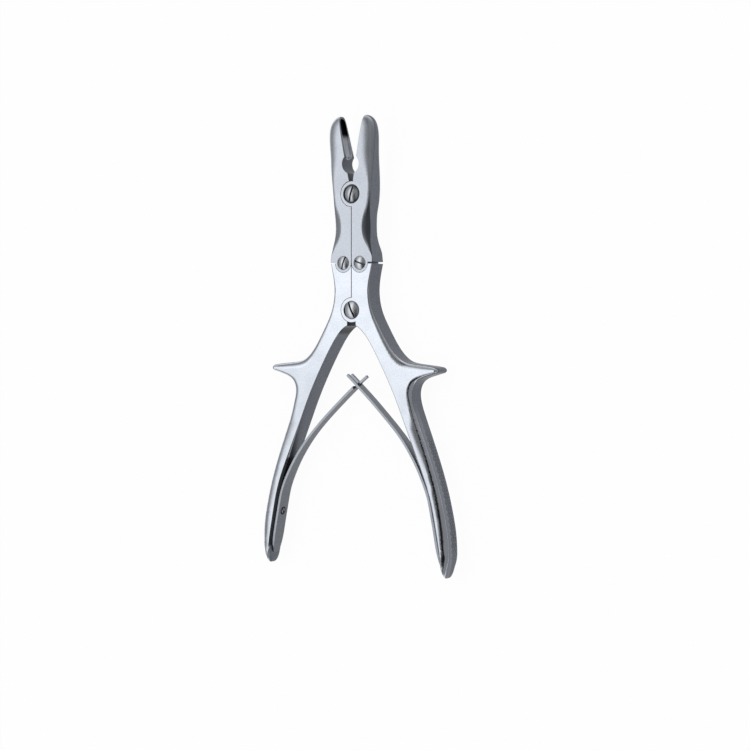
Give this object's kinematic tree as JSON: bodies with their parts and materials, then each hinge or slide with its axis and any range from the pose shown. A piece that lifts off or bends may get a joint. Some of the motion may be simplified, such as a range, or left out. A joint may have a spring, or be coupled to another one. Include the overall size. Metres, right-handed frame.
{
  "type": "bone rongeur",
  "caption": "Double-action bone rongeur with cupped biting jaws, finger spurs on the handles and a pair of interlocked leaf springs.",
  "frame": {"origin": "on the axis of the handle screw, at the flat back the tool lies on", "axes": "+Z out of the front face along all pivot axes, +Y from the handle screw towards the jaws, +X to the right handle"},
  "size_m": [0.1074, 0.22, 0.0113],
  "materials": {
    "handle_steel": "satin stainless steel",
    "jaw_steel": "satin stainless steel",
    "spring_steel": "satin spring steel",
    "screw_steel": "polished stainless steel"
  },
  "bodies": {
    "right_handle_arm": {"right_handle": "handle_steel", "right_spring": "spring_steel", "right_spring_screw": "screw_steel", "right_link_screw": "screw_steel"},
    "left_handle_arm": {"left_handle": "handle_steel", "left_spring": "spring_steel", "left_spring_screw": "screw_steel", "left_link_screw": "screw_steel", "handle_screw": "screw_steel"},
    "left_jaw_arm": {"left_jaw": "jaw_steel", "jaw_screw": "screw_steel"},
    "right_jaw_arm": {"right_jaw": "jaw_steel"}
  },
  "joints": [
    {"name": "handle_squeeze", "type": "hinge", "parent": "right_handle_arm", "child": "left_handle_arm", "pos_m": [0, 0, 0.005], "axis": [0, 0, 1], "range_deg": [0, 31.4], "stiffness_Nm_per_rad": 2, "springref_deg": -6.88, "deforming": ["right_spring", "left_spring"]},
    {"name": "right_jaw_pivot", "type": "hinge", "parent": "right_handle_arm", "child": "right_jaw_arm", "pos_m": [0.0047, 0.0227, 0.005], "axis": [0, 0, 1], "range_deg": [0, 26.5]},
    {"name": "left_jaw_pivot", "type": "hinge", "parent": "left_handle_arm", "child": "left_jaw_arm", "pos_m": [-0.0047, 0.0227, 0.005], "axis": [0, 0, 1], "range_deg": [-26.5, 0]}
  ],
  "couplings": [
    {"joint": "right_jaw_pivot", "follows": "handle_squeeze", "ratio": 0.8341},
    {"joint": "left_jaw_pivot", "follows": "handle_squeeze", "ratio": -0.8341}
  ]
}
